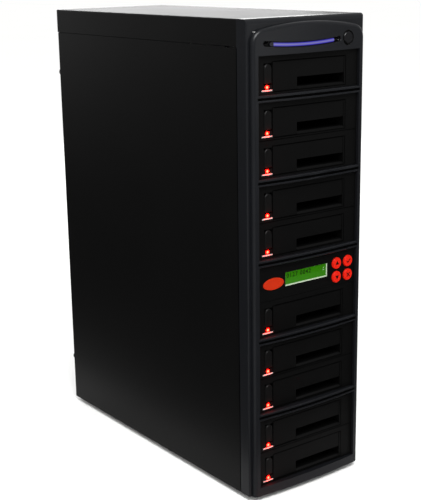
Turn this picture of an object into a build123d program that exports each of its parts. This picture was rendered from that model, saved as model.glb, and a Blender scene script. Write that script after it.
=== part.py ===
from build123d import *
import math
import os

# A hard drive duplicator: a sheet-metal tower with a moulded front, ten drive racks and a control panel.
# Millimetres. X runs to the right as seen from the front, Y to the rear, Z up from the floor.

os.makedirs("parts", exist_ok=True)

# Sheet-metal case
case_width = 172.0
case_height = 553.0
case_depth = 391.0
sheet = 1.0
bend_radius = 1.5
cover_flange = 29.5
seam_gap = 0.5
rear_flange = 14.0
pan_flange = 18.0
foot_height = 6.0
foot_radius = 9.0
foot_inset = 24.0
foot_taper = 10.0
foot_sides = 16
thumb_head_radius = 5.0
thumb_head_length = 5.0
thumb_head_sides = 12
thumb_height_low = 60.0
thumb_drop = 83.0
seam_notch_length = 6.6
seam_notch_height = 1.5
seam_notch_setback = 13.1

# Front bezel
bezel_depth = 23.5
bezel_bow = 3.0
corner_setback = 6.5
corner_round = 1.8
brow_drop = 6.0
brow_setback = 8.5
shield_margin = 4.0
shield_round = 4.0
arch_corner = 16.0
arch_rise = 8.5
arch_below_top = 5.0
bezel_wall = 2.6
bottom_margin = 10.6
crossbar = 7.8
groove_height = 2.2
groove_depth = 3.5
groove_overrun = 1.2
rib_bevel = 0.7

# Bays, from the bottom up: each opening holds one or two places
stile_width = 11.5
brow_height = 39.0
bay_margin = 0.2
places_in_openings = (2, 2, 2, 2, 2, 1)
panel_index = 5
bay_width = case_width - 2 * stile_width
crossbar_count = len(places_in_openings) - 1
bays_reach = case_height - bottom_margin - brow_height - crossbar_count * crossbar
bay_pitch = (bays_reach - 2 * bay_margin * len(places_in_openings)) / sum(places_in_openings)

# Drive rack, with small pins and lenses drawn with flat sides because they repeat
rack_side_gap = 0.3
rack_stack_gap = 0.3
rack_face_thickness = 6.0
rack_face_recess = 3.5
rack_body_inset = 1.5
rack_body_bottom = 2.0
rack_body_drop = 1.5
rack_depth = 168.0
rack_wall = 1.6
door_left_margin = 24.6
door_right_margin = 20.8
door_bottom = 3.0
door_top_margin = 7.5
door_thickness = 2.2
door_recess = 0.4
door_gap = 0.3
door_bevel = 0.5
hinge_drop = 1.3
hinge_depth = 1.5
trunnion_radius = 0.75
trunnion_length = 2.0
pivot_clearance = 0.06
pin_sides = 8
notch_width = 70.0
notch_top = 16.2
drive_floor = 5.5
heel_depth = 15.0
sill_chamfer = 1.8
board_thickness = 1.6
board_setback = 8.0
socket_width = 42.0
socket_height = 6.5
socket_length = 7.0
socket_inset = 27.4
board_clearance = 0.2

# Eject lever
lever_margin = 15.55
lever_width = 10.3
lever_top_margin = 9.0
lever_top_sides = 16
lever_thickness = 4.0
lever_proud = 0.6
lever_gap = 0.4
lever_surround = 0.8
lever_surround_depth = 0.5
lever_edge = 0.8
lever_pivot_height = 13.2
lever_pivot_depth = 1.8
lever_foot = 1.6
lever_swing_room = 2.8
lever_barrel_radius = 1.5
lever_barrel_overhang = 1.4
lever_tail_length = 10.0
lever_tail_thickness = 3.0
lever_tail_width = 6.0

# Status lamp of a rack
lamp_margin = 14.2
lamp_height = 7.9
lamp_radius = 1.5
lamp_proud = 0.8

# Light bar and power button, measured from the top edge of the top opening
bar_above_bay = 9.8
smile_radius = 506.0
recess_left_margin = 9.5
recess_right_margin = 34.5
recess_height = 6.2
recess_depth = 4.6
lens_setback = 1.3
lens_end_margin = 8.5
bar_height = 4.4
bar_gap = 0.15
bar_flange = 1.6
bar_flange_thickness = 1.5
button_margin = 19.5
button_above_bay = 13.3
button_radius = 6.6
button_sides = 36
button_hole_radius = 7.4
button_proud = 0.6
button_cap_length = 7.0
button_bevel = 0.5
button_travel = 1.5
button_stem_size = 5.0
collar_wall = 2.0
collar_length = 12.0
switch_size = 20.0
switch_depth = 8.0
switch_bore_depth = 6.0
switch_gap = 0.3
front_wall = 4.0

# Control panel
fascia_thickness = 3.0
window_to_keys = 46.4
window_lift = 0.3
window_size = (64.5, 16.4)
display_frame_size = (71.2, 24.2)
display_frame_depth = 7.5
glass_gap = 0.15
glass_recess = 1.0
panel_board_side_gap = 4.2
panel_board_drop = 6.0
panel_board_base = 2.6
key_right_margin = 11.2
key_column_pitch = 18.0
key_row_pitch = 16.8
key_rows_drop = 2.4
key_radius = 7.0
key_sides = 24
key_gap = 0.3
key_proud = 2.2
key_bevel = 1.0
key_flange = 0.8
key_flange_thickness = 1.2
key_travel = 0.8
key_stem_size = 3.2
key_switch_size = 6.0
key_switch_height = 3.5
tray_depth = 150.0
tray_side_height = 26.0
tray_bottom = 1.0
post_radius = 3.0
post_sides = 6
post_inset = 6.0
post_height = 6.0
controller_side_gap = 8.0
controller_length = 120.0
controller_setback = 22.0
chip_size = 28.0
chip_height = 3.0

# Drive cage
cage_wall = 1.2
cage_clearance = 0.2
cage_flange_gap = 3.0
cage_behind_racks = 5.0
cage_roof_gap = 2.0

# Rear: power supply, fans and vents
supply_side_gap = 11.0
supply_height = 86.0
supply_depth = 140.0
supply_window_margin = 3.0
vent_slot_length = 60.0
vent_slot_height = 4.0
vent_slot_pitch = 10.0
vent_slot_depth = 8.0
vent_margin = 16.0
inlet_margin = 20.0
inlet_height = 30.0
inlet_width = 27.0
inlet_tall = 19.6
inlet_flange = 2.0
inlet_flange_thickness = 2.0
inlet_body_depth = 22.0
inlet_wall = 1.6
inlet_socket_depth = 18.0
inlet_pin_size = (2.0, 4.0)
inlet_pin_length = 12.0
inlet_pin_spread = 7.0
inlet_pin_offset = 2.0
rocker_height = 62.0
rocker_width = 9.0
rocker_radius = 8.0
rocker_tilt = 10.0
rocker_gap = 0.3
rocker_rim = 1.5
rocker_axis_depth = 1.5
rocker_pin_radius = 1.0
fan_size = 120.0
fan_depth = 25.0
fan_bore_radius = 57.5
fan_bore_sides = 36
fan_low_height = 172.0
fan_high_height = 312.0
fan_strut = 5.0
fan_strut_depth = 3.0
fan_hub_radius = 20.0
fan_hub_sides = 24
fan_hub_wall = 2.3
fan_pin_radius = 3.0
fan_pin_clearance = 0.06
fan_pin_end_gap = 0.5
rotor_gap = 1.0
rotor_radius = 54.5
blade_count = 7
blade_chord = 24.0
blade_thickness = 1.8
blade_angle = 34.0
blade_sink = 4.0
grille_radius = 54.0
grille_rows = 9
grille_slot = 6.0
grille_pitch = 11.5
upper_vent_count = 8
upper_vent_length = 110.0
upper_vent_height = 4.0
upper_vent_pitch = 10.0
upper_vent_base = 420.0

# Places that follow from the sizes
overall_depth = bezel_bow + bezel_depth + case_depth + thumb_head_length
crown_y = -overall_depth / 2
stile_y = crown_y + bezel_bow
frame_y = stile_y + corner_setback
metal_front_y = stile_y + bezel_depth
metal_rear_y = metal_front_y + case_depth
rear_panel_y = metal_rear_y - 2 * sheet
case_bottom = foot_height
case_top = case_bottom + case_height
case_half = case_width / 2
inner_half = case_half - sheet
seam_z = case_top - cover_flange
bow_radius = (bay_width ** 2 / 4 + bezel_bow ** 2) / (2 * bezel_bow)
first_opening = case_bottom + bottom_margin
rack_face_y = stile_y + rack_face_recess
rack_rear_y = rack_face_y + rack_depth
rack_face_width = bay_width - 2 * rack_side_gap
rack_face_height = bay_pitch - rack_stack_gap
rack_body_width = bay_width - 2 * rack_body_inset
rack_body_top = bay_pitch - rack_body_drop
face_half = rack_face_width / 2
door_left = door_left_margin - face_half
door_right = face_half - door_right_margin
door_width = door_right - door_left
door_top = bay_pitch - door_top_margin
notch_left = door_right - notch_width
lever_centre = lever_margin - face_half
lever_top = bay_pitch - lever_top_margin
lamp_x = lamp_margin - face_half
cavity_left = door_left - door_gap
cavity_right = door_right + door_gap
mouth_top = door_top + door_gap
hinge_y = rack_face_y + hinge_depth
hinge_height = door_top - hinge_drop
wall_y = stile_y + front_wall
recess_left = recess_left_margin - bay_width / 2
recess_right = bay_width / 2 - recess_right_margin
bar_x = (recess_left + recess_right) / 2
recess_half_length = (recess_right - recess_left) / 2
bar_half_length = recess_half_length - lens_end_margin
button_x = bay_width / 2 - button_margin


def opening_height(places):
    """Height of a bezel opening that holds this many places."""
    return places * bay_pitch + 2 * bay_margin


def opening_bottom(index):
    """Lower edge of the opening, counted from the bottom."""
    below = places_in_openings[:index]
    return first_opening + sum(opening_height(places) + crossbar for places in below)


def bow_y(x):
    """Depth of the bowed front at a distance x from the middle."""
    return crown_y + bow_radius - math.sqrt(bow_radius ** 2 - x ** 2)


def front_plane(y):
    """A plane at depth y that faces the front, with X to the right and Z up."""
    return Plane.XZ.offset(-y)


openings = range(len(places_in_openings))
opening_bottoms = [opening_bottom(index) for index in openings]
opening_heights = [opening_height(places) for places in places_in_openings]
place_bottoms = []
for index in openings:
    for level in range(places_in_openings[index]):
        place_bottoms.append(opening_bottoms[index] + bay_margin + level * bay_pitch)
panel_z = place_bottoms[panel_index]
rack_bottoms = [z for z in reversed(place_bottoms) if z != panel_z]
bays_top = opening_bottoms[-1] + opening_heights[-1]
bar_z = bays_top + bar_above_bay
button_z = bays_top + button_above_bay


def write(name, part):
    """Label a finished piece and write its file."""
    part.label = name
    export_step(part, f"parts/{name}.step")


def smile_rise(half_length):
    """Height of the ends of the light bar's arc above its middle."""
    return smile_radius - math.sqrt(smile_radius ** 2 - half_length ** 2)


def smile_line(half_length):
    """Middle line of the light bar, a wide arc with its ends raised."""
    ends_z = bar_z + smile_rise(half_length)
    return ThreePointArc((bar_x - half_length, ends_z), (bar_x, bar_z), (bar_x + half_length, ends_z))


def front_of_bow(setback):
    """Outline, seen from above, of all that lies in front of the bowed face moved back by the setback."""
    edge_y = bow_y(case_half) + setback
    with BuildSketch(Plane.XY.offset(case_bottom)) as outline:
        with BuildLine():
            ThreePointArc((-case_half, edge_y), (0, crown_y + setback), (case_half, edge_y))
            Polyline(
                (case_half, edge_y),
                (case_half, crown_y - bezel_bow),
                (-case_half, crown_y - bezel_bow),
                (-case_half, edge_y),
            )
        make_face()
    return outline.sketch


# Front bezel
shield_half = case_half - shield_margin
arch_top_z = case_top - arch_below_top
arch_side_z = arch_top_z - arch_rise
shield_back_y = frame_y + brow_setback
crossbar_middles = [bottom - crossbar / 2 for bottom in opening_bottoms[1:]]
cap_pocket_bottom = bays_top + bezel_wall
cap_pocket_top = case_top - bezel_wall
stile_pocket_inner = bay_width / 2 + bezel_wall
stile_pocket_outer = case_half - bezel_wall
stile_pocket_x = (stile_pocket_inner + stile_pocket_outer) / 2
recess_line = smile_line(recess_half_length)
lens_line = smile_line(bar_half_length)

with BuildPart() as front_bezel:
    with BuildSketch(Plane.XY.offset(case_bottom)) as corner_frame:
        with Locations((0, (frame_y + metal_front_y) / 2)):
            Rectangle(case_width, metal_front_y - frame_y)
        fillet(corner_frame.vertices().group_by(Axis.Y)[0], corner_round)
    extrude(amount=case_height)
    with BuildSketch(Plane.YZ.offset(-case_half)) as above_brow:
        with BuildLine():
            TangentArc(
                (frame_y, case_top - brow_drop),
                (frame_y + brow_setback, case_top),
                tangent=(0, 1),
            )
            Polyline(
                (frame_y + brow_setback, case_top),
                (frame_y - brow_setback, case_top),
                (frame_y - brow_setback, case_top - brow_drop),
                (frame_y, case_top - brow_drop),
            )
        make_face()
    extrude(amount=case_width, mode=Mode.SUBTRACT)
    with BuildSketch(front_plane(shield_back_y)) as shield:
        with BuildLine():
            Polyline(
                (-shield_half, arch_side_z),
                (-shield_half, case_bottom),
                (shield_half, case_bottom),
                (shield_half, arch_side_z),
            )
            ThreePointArc((shield_half, arch_side_z), (0, arch_top_z), (-shield_half, arch_side_z))
        make_face()
        fillet(shield.vertices().group_by(Axis.Y)[-1], arch_corner)
    extrude(amount=shield_back_y - crown_y)
    extrude(front_of_bow(0), amount=case_height, mode=Mode.SUBTRACT)
    bowed_face = front_bezel.faces().sort_by(Axis.Y)[0]
    shield_edges = bowed_face.edges().sort_by(Axis.Z)[1:]
    fillet(shield_edges, shield_round)
    # Hollow behind the brow and behind the stiles
    with BuildSketch(front_plane(metal_front_y)) as cap_pocket:
        with Locations((0, (cap_pocket_bottom + cap_pocket_top) / 2)):
            Rectangle(2 * stile_pocket_outer, cap_pocket_top - cap_pocket_bottom)
    extrude(amount=metal_front_y - shield_back_y - bezel_wall, mode=Mode.SUBTRACT)
    with BuildSketch(front_plane(metal_front_y)) as button_room:
        with Locations((0, (cap_pocket_bottom + arch_side_z) / 2)):
            Rectangle(2 * stile_pocket_inner, arch_side_z - cap_pocket_bottom)
    extrude(amount=metal_front_y - wall_y, mode=Mode.SUBTRACT)
    with BuildSketch(front_plane(metal_front_y)) as stile_pockets:
        for side in (-1, 1):
            with Locations((side * stile_pocket_x, (case_bottom + bays_top) / 2)):
                Rectangle(stile_pocket_outer - stile_pocket_inner, bays_top - case_bottom - 2 * bezel_wall)
    extrude(amount=metal_front_y - frame_y - bezel_wall, mode=Mode.SUBTRACT)
    # Bay openings and the grooves of the crossbars
    with BuildSketch(front_plane(metal_front_y)) as bay_openings:
        for bottom, height in zip(opening_bottoms, opening_heights):
            with Locations((0, bottom + height / 2)):
                Rectangle(bay_width, height)
    extrude(amount=metal_front_y - crown_y, mode=Mode.SUBTRACT)
    rib_edges = [
        edge
        for edge in front_bezel.faces().sort_by(Axis.Y)[0].edges().filter_by(GeomType.CIRCLE)
        if first_opening + crossbar < edge.center().Z < opening_bottoms[-1] + crossbar
    ]
    chamfer(rib_edges, rib_bevel)
    with BuildSketch(front_plane(stile_y + groove_depth)) as grooves:
        for middle in crossbar_middles:
            with Locations((0, middle)):
                Rectangle(bay_width + 2 * groove_overrun, groove_height)
    extrude(amount=groove_depth + bezel_bow, mode=Mode.SUBTRACT)
    # Recess and through slot of the light bar
    with BuildSketch(front_plane(crown_y + recess_depth)) as recess:
        SlotArc(recess_line, recess_height)
    extrude(amount=recess_depth + bezel_bow, mode=Mode.SUBTRACT)
    with BuildSketch(front_plane(wall_y)) as lens_slot:
        SlotArc(lens_line, bar_height + 2 * bar_gap)
    extrude(amount=front_wall + bezel_bow, mode=Mode.SUBTRACT)
    # Collar and hole of the power button
    with BuildSketch(front_plane(wall_y)) as collar:
        with Locations((button_x, button_z)):
            Circle(button_hole_radius + collar_wall)
    extrude(amount=-collar_length)
    with BuildSketch(front_plane(wall_y + collar_length)) as button_hole:
        with Locations((button_x, button_z)):
            Circle(button_hole_radius)
    extrude(amount=collar_length + front_wall + bezel_bow, mode=Mode.SUBTRACT)
write("front_bezel", front_bezel.part)

# Light bar lens with its flange behind the bezel wall
bar_rise = smile_rise(bar_half_length)
bar_flange_length = 2 * bar_half_length + bar_height + 2 * bar_flange
with BuildPart() as light_bar:
    with BuildSketch(front_plane(wall_y)) as lens:
        SlotArc(lens_line, bar_height)
    extrude(amount=wall_y - crown_y)
    extrude(front_of_bow(lens_setback), amount=case_height, mode=Mode.SUBTRACT)
    with BuildSketch(front_plane(wall_y)) as lens_flange:
        with Locations((bar_x, bar_z + bar_rise / 2)):
            Rectangle(bar_flange_length, bar_rise + bar_height + 2 * bar_flange)
    extrude(amount=-bar_flange_thickness)
write("light_bar", light_bar.part)

# Power button, a bevelled cap on a square stem, and the switch behind it
button_front_y = bow_y(button_x) - button_proud
switch_y = wall_y + collar_length
stem_bore_size = button_stem_size + 2 * pivot_clearance
stem_end_y = switch_y + switch_bore_depth - button_travel - switch_gap
with BuildPart() as power_button:
    with BuildSketch(front_plane(button_front_y)) as cap:
        with Locations((button_x, button_z)):
            RegularPolygon(button_radius, button_sides)
    extrude(amount=-button_cap_length)
    cap_front = power_button.faces().sort_by(Axis.Y)[0]
    chamfer(cap_front.edges(), button_bevel)
    with BuildSketch(front_plane(button_front_y + button_cap_length)) as stem:
        with Locations((button_x, button_z)):
            Rectangle(button_stem_size, button_stem_size)
    extrude(amount=-(stem_end_y - button_front_y - button_cap_length))
write("power_button", power_button.part)

with BuildPart() as power_switch:
    with BuildSketch(front_plane(switch_y)) as switch_body:
        with Locations((button_x, button_z)):
            Rectangle(switch_size, switch_size)
            Rectangle(stem_bore_size, stem_bore_size, mode=Mode.SUBTRACT)
    extrude(amount=-switch_bore_depth)
    with BuildSketch(front_plane(switch_y + switch_bore_depth)) as switch_back:
        with Locations((button_x, button_z)):
            Rectangle(switch_size, switch_size)
    extrude(amount=-(switch_depth - switch_bore_depth))
write("power_switch", power_switch.part)

# Top cover, an inverted U that wraps down both sides
with BuildPart() as top_cover:
    with BuildSketch(front_plane(metal_front_y)) as cover_profile:
        with BuildLine() as cover_outside:
            FilletPolyline(
                (-case_half, seam_z),
                (-case_half, case_top),
                (case_half, case_top),
                (case_half, seam_z),
                radius=bend_radius,
            )
            Line((case_half, seam_z), (inner_half, seam_z))
            FilletPolyline(
                (inner_half, seam_z),
                (inner_half, case_top - sheet),
                (-inner_half, case_top - sheet),
                (-inner_half, seam_z),
                radius=bend_radius - sheet,
            )
            Line((-inner_half, seam_z), (-case_half, seam_z))
        make_face()
    extrude(amount=-case_depth)
write("top_cover", top_cover.part)

# Side panels with a notch under the seam and a flange around the rear edge, held by thumb screws there
thumb_heights = (case_bottom + thumb_height_low, case_top - thumb_drop)
seam_notch_y = metal_front_y + seam_notch_setback + seam_notch_length / 2
thumb_x = case_half - rear_flange / 2
flange_x = case_half - rear_flange
with BuildPart() as left_side_panel:
    with BuildSketch(Plane.XY.offset(case_bottom)) as side_profile:
        with BuildLine():
            FilletPolyline(
                (-case_half, metal_front_y),
                (-case_half, metal_rear_y),
                (-flange_x, metal_rear_y),
                radius=bend_radius,
            )
            Line((-flange_x, metal_rear_y), (-flange_x, metal_rear_y - sheet))
            FilletPolyline(
                (-flange_x, metal_rear_y - sheet),
                (-inner_half, metal_rear_y - sheet),
                (-inner_half, metal_front_y),
                radius=bend_radius - sheet,
            )
            Line((-inner_half, metal_front_y), (-case_half, metal_front_y))
        make_face()
    extrude(amount=seam_z - seam_gap - case_bottom)
    with BuildSketch(Plane.YZ.offset(-case_half)) as seam_notch:
        with Locations((seam_notch_y, seam_z - seam_gap)):
            Rectangle(seam_notch_length, 2 * seam_notch_height)
    extrude(amount=sheet, mode=Mode.SUBTRACT)
write("left_side_panel", left_side_panel.part)

with BuildPart() as right_side_panel:
    add(mirror(left_side_panel.part, about=Plane.YZ, mode=Mode.PRIVATE))
write("right_side_panel", right_side_panel.part)

with BuildPart() as thumb_screws:
    with BuildSketch(front_plane(metal_rear_y)) as thumb_heads:
        for side in (-1, 1):
            with Locations(*[(side * thumb_x, height) for height in thumb_heights]):
                RegularPolygon(thumb_head_radius, thumb_head_sides)
    extrude(amount=-thumb_head_length)
write("thumb_screws", thumb_screws.part)

# Bottom pan with flanges up the sides, and the feet
with BuildPart() as bottom_pan:
    with BuildSketch(front_plane(metal_front_y)) as pan_profile:
        with BuildLine():
            FilletPolyline(
                (-inner_half, case_bottom + pan_flange),
                (-inner_half, case_bottom),
                (inner_half, case_bottom),
                (inner_half, case_bottom + pan_flange),
                radius=bend_radius,
            )
            Line((inner_half, case_bottom + pan_flange), (inner_half - sheet, case_bottom + pan_flange))
            FilletPolyline(
                (inner_half - sheet, case_bottom + pan_flange),
                (inner_half - sheet, case_bottom + sheet),
                (-inner_half + sheet, case_bottom + sheet),
                (-inner_half + sheet, case_bottom + pan_flange),
                radius=bend_radius - sheet,
            )
            Line((-inner_half + sheet, case_bottom + pan_flange), (-inner_half, case_bottom + pan_flange))
        make_face()
    extrude(amount=-(rear_panel_y - metal_front_y))
write("bottom_pan", bottom_pan.part)

with BuildPart() as feet:
    with BuildSketch(Plane.XY.offset(foot_height)) as foot_places:
        foot_spread_x = case_width - 2 * foot_inset
        foot_spread_y = case_depth - 2 * foot_inset
        with Locations((0, (metal_front_y + metal_rear_y) / 2)):
            with GridLocations(foot_spread_x, foot_spread_y, 2, 2):
                RegularPolygon(foot_radius, foot_sides)
    extrude(amount=-foot_height, taper=foot_taper)
write("feet", feet.part)

# Drive cage: a rectangular tube with front flanges behind the bezel
cage_inner_half = rack_body_width / 2 + cage_clearance
cage_outer_half = cage_inner_half + cage_wall
cage_bottom = case_bottom + sheet
cage_roof = bays_top + cage_roof_gap
cage_rear_y = rack_rear_y + cage_behind_racks
with BuildPart() as drive_cage:
    with BuildSketch(front_plane(metal_front_y)) as cage_profile:
        with Locations((0, (cage_bottom + cage_roof + cage_wall) / 2)):
            Rectangle(2 * cage_outer_half, cage_roof + cage_wall - cage_bottom)
        with Locations((0, (cage_bottom + cage_wall + cage_roof) / 2)):
            Rectangle(2 * cage_inner_half, cage_roof - cage_bottom - cage_wall, mode=Mode.SUBTRACT)
    extrude(amount=-(cage_rear_y - metal_front_y))
    with BuildSketch(front_plane(metal_front_y)) as cage_flanges:
        for side in (-1, 1):
            with Locations((side * (cage_outer_half + inner_half - sheet) / 2, (case_bottom + bays_top) / 2)):
                Rectangle(inner_half - sheet - cage_outer_half, bays_top - case_bottom - 2 * cage_flange_gap)
    extrude(amount=-cage_wall)
write("drive_cage", drive_cage.part)

# Drive rack: face plate, three-cell body, door mouth and lever window
cell_top = rack_body_top - rack_wall
body_half = rack_body_width / 2
lever_half = lever_width / 2
window_bottom = lever_pivot_height - lever_swing_room
window_top = lever_top + lever_gap
window_width = lever_width + 2 * lever_gap
lever_pivot_y = rack_face_y + lever_pivot_depth
hinge_pocket_size = 2 * (trunnion_radius + pivot_clearance)
hinge_pocket_reach = trunnion_length + door_gap
lever_pocket_size = 2 * (lever_barrel_radius + pivot_clearance)
lever_pocket_reach = lever_half + lever_barrel_overhang + lever_gap
with BuildPart() as rack_frame:
    with BuildSketch(front_plane(rack_face_y)) as face_plate:
        with Locations((0, bay_pitch / 2)):
            Rectangle(rack_face_width, rack_face_height)
    extrude(amount=-rack_face_thickness)
    with BuildSketch(front_plane(rack_face_y + rack_face_thickness)) as body_profile:
        with Locations((0, (rack_body_bottom + rack_body_top) / 2)):
            Rectangle(rack_body_width, rack_body_top - rack_body_bottom)
        for cell_left, cell_right, cell_bottom in (
            (-body_half + rack_wall, cavity_left - rack_wall, rack_body_bottom + rack_wall),
            (cavity_left, cavity_right, drive_floor),
            (cavity_right + rack_wall, body_half - rack_wall, rack_body_bottom + rack_wall),
        ):
            with Locations(((cell_left + cell_right) / 2, (cell_bottom + cell_top) / 2)):
                Rectangle(cell_right - cell_left, cell_top - cell_bottom, mode=Mode.SUBTRACT)
    extrude(amount=-(rack_depth - rack_face_thickness))
    # Mouth of the drive cavity
    with BuildSketch(front_plane(rack_face_y)) as mouth:
        with Locations(((cavity_left + cavity_right) / 2, (drive_floor + mouth_top) / 2)):
            Rectangle(cavity_right - cavity_left, mouth_top - drive_floor)
    extrude(amount=-rack_face_thickness, mode=Mode.SUBTRACT)
    sill = rack_frame.edges().filter_by(Axis.X).filter_by_position(Axis.Z, drive_floor, drive_floor)
    chamfer(sill.sort_by(Axis.Y)[0], sill_chamfer)
    # Room for the heel of the door, which reaches below the drive floor
    heel_bottom = door_bottom - door_gap
    heel_right = notch_left + door_gap
    with BuildSketch(front_plane(rack_face_y)) as heel_room:
        with Locations(((cavity_left + heel_right) / 2, (heel_bottom + drive_floor) / 2)):
            Rectangle(heel_right - cavity_left, drive_floor - heel_bottom)
    extrude(amount=-heel_depth, mode=Mode.SUBTRACT)
    # Square-cornered pockets in which the pivots of the door and of the lever run on the flats
    with BuildSketch(Plane.YZ.offset(door_left - hinge_pocket_reach)) as hinge_pockets:
        with Locations((hinge_y, hinge_height)):
            Rectangle(hinge_pocket_size, hinge_pocket_size)
    extrude(amount=door_width + 2 * hinge_pocket_reach, mode=Mode.SUBTRACT)
    with BuildSketch(Plane.YZ.offset(lever_centre - lever_pocket_reach)) as lever_pockets:
        with Locations((lever_pivot_y, lever_pivot_height)):
            Rectangle(lever_pocket_size, lever_pocket_size)
    extrude(amount=2 * lever_pocket_reach, mode=Mode.SUBTRACT)
    with BuildSketch(front_plane(rack_face_y)) as lever_window:
        with Locations((lever_centre, (window_bottom + window_top) / 2)):
            Rectangle(window_width, window_top - window_bottom)
    extrude(amount=-rack_face_thickness, mode=Mode.SUBTRACT)
    with BuildSketch(front_plane(rack_face_y)) as surround:
        with Locations((lever_centre, (window_bottom + window_top) / 2)):
            Rectangle(window_width + 2 * lever_surround, window_top - window_bottom + 2 * lever_surround)
    extrude(amount=-lever_surround_depth, mode=Mode.SUBTRACT)

# Door: a flap with a notch for small drives and a trunnion at each end of its top edge
door_face_y = rack_face_y + door_recess
with BuildPart() as door:
    with BuildSketch(front_plane(door_face_y)) as flap:
        with Locations(((door_left + door_right) / 2, (door_bottom + door_top) / 2)):
            Rectangle(door_width, door_top - door_bottom)
        with Locations(((notch_left + door_right) / 2, (door_bottom + notch_top) / 2)):
            Rectangle(door_right - notch_left, notch_top - door_bottom, mode=Mode.SUBTRACT)
    extrude(amount=-door_thickness)
    chamfer(door.edges().filter_by(Axis.X).group_by(Axis.Z)[-1].sort_by(Axis.Y)[-1], door_bevel)
    with BuildSketch(Plane.YZ.offset(door_left - trunnion_length)) as trunnions:
        with Locations((hinge_y, hinge_height)):
            RegularPolygon(trunnion_radius, pin_sides)
    extrude(amount=door_width + 2 * trunnion_length)

# Eject lever: a round-topped blade with a pivot barrel at its foot and a tail behind it
with BuildPart() as lever:
    with BuildSketch(front_plane(rack_face_y - lever_proud)) as blade:
        blade_bottom = lever_pivot_height - lever_foot
        with Locations((lever_centre, (blade_bottom + lever_top - lever_half) / 2)):
            Rectangle(lever_width, lever_top - lever_half - blade_bottom)
        with Locations((lever_centre, lever_top - lever_half)):
            RegularPolygon(lever_half, lever_top_sides)
    extrude(amount=-lever_thickness)
    chamfer(lever.faces().sort_by(Axis.Y)[0].edges(), lever_edge)
    with BuildSketch(Plane.YZ.offset(lever_centre - lever_half - lever_barrel_overhang)) as barrel:
        with Locations((lever_pivot_y, lever_pivot_height)):
            RegularPolygon(lever_barrel_radius, pin_sides)
    extrude(amount=2 * (lever_half + lever_barrel_overhang))
    with BuildSketch(Plane.YZ.offset(lever_centre - lever_tail_width / 2)) as tail:
        with Locations((lever_pivot_y + lever_tail_length / 2, lever_pivot_height)):
            Rectangle(lever_tail_length, lever_tail_thickness)
    extrude(amount=lever_tail_width)

# Backplane board with its drive socket, standing on the drive floor
board_y = rack_rear_y - board_setback
with BuildPart() as backplane:
    with BuildSketch(front_plane(board_y)) as board:
        with Locations(((cavity_left + cavity_right) / 2, (drive_floor + cell_top) / 2)):
            Rectangle(cavity_right - cavity_left - 2 * board_clearance, cell_top - drive_floor)
    extrude(amount=-board_thickness)
    with BuildSketch(front_plane(board_y)) as socket:
        with Locations((door_right - socket_inset, drive_floor + socket_height / 2)):
            Rectangle(socket_width, socket_height)
    extrude(amount=socket_length)

# Lens of the status lamp, seated on the rack's face
with BuildPart() as lamp:
    with BuildSketch(front_plane(rack_face_y)) as lamp_lens:
        with Locations((lamp_x, lamp_height)):
            RegularPolygon(lamp_radius, pin_sides)
    extrude(amount=lamp_proud)

for number, bottom in enumerate(rack_bottoms, start=1):
    with BuildPart() as placed_frame:
        with Locations((0, 0, bottom)):
            add(rack_frame.part)
    write(f"rack_frame_{number:02d}", placed_frame.part)
    with BuildPart() as placed_door:
        with Locations((0, 0, bottom)):
            add(door.part)
    write(f"drive_door_{number:02d}", placed_door.part)
    with BuildPart() as placed_lever:
        with Locations((0, 0, bottom)):
            add(lever.part)
    write(f"eject_lever_{number:02d}", placed_lever.part)

rack_places = [(0, 0, bottom) for bottom in rack_bottoms]
with BuildPart() as backplane_boards:
    with Locations(*rack_places):
        add(backplane.part)
write("backplane_boards", backplane_boards.part)

with BuildPart() as status_lamps:
    with Locations(*rack_places):
        add(lamp.part)
write("status_lamps", status_lamps.part)

# Control panel fascia with the display window and four key holes
fascia_back_y = rack_face_y + fascia_thickness
key_right_x = face_half - key_right_margin
key_left_x = key_right_x - key_column_pitch
key_low_z = panel_z + bay_pitch / 2 - key_rows_drop - key_row_pitch / 2
key_high_z = key_low_z + key_row_pitch
key_places = [(x, z) for z in (key_high_z, key_low_z) for x in (key_left_x, key_right_x)]
display_x = key_left_x - window_to_keys
display_z = panel_z + bay_pitch / 2 + window_lift
with BuildPart() as control_panel:
    with BuildSketch(front_plane(rack_face_y)) as fascia:
        with Locations((0, panel_z + bay_pitch / 2)):
            Rectangle(rack_face_width, rack_face_height)
        with Locations((display_x, display_z)):
            Rectangle(*window_size, mode=Mode.SUBTRACT)
        with Locations(*key_places):
            RegularPolygon(key_radius + key_gap, key_sides, mode=Mode.SUBTRACT)
    extrude(amount=-fascia_thickness)
write("control_panel", control_panel.part)

with BuildPart() as display_glass:
    with BuildSketch(front_plane(fascia_back_y)) as glass:
        with Locations((display_x, display_z)):
            Rectangle(window_size[0] - 2 * glass_gap, window_size[1] - 2 * glass_gap)
    extrude(amount=fascia_thickness - glass_recess)
write("display_glass", display_glass.part)

# Panel board with the display frame and four key switches
panel_board_y = fascia_back_y + display_frame_depth
panel_board_height = bay_pitch - panel_board_drop
switch_front_y = panel_board_y - key_switch_height
with BuildPart() as panel_board:
    with BuildSketch(front_plane(panel_board_y)) as panel_board_outline:
        with Locations((0, panel_z + panel_board_base + panel_board_height / 2)):
            Rectangle(rack_face_width - 2 * panel_board_side_gap, panel_board_height)
    extrude(amount=-board_thickness)
    with BuildSketch(front_plane(panel_board_y)) as display_frame:
        with Locations((display_x, display_z)):
            Rectangle(*display_frame_size)
    extrude(amount=display_frame_depth)
    with BuildSketch(front_plane(panel_board_y)) as key_switches:
        with Locations(*key_places):
            Rectangle(key_switch_size, key_switch_size)
    extrude(amount=key_switch_height)
write("panel_board", panel_board.part)

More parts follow.
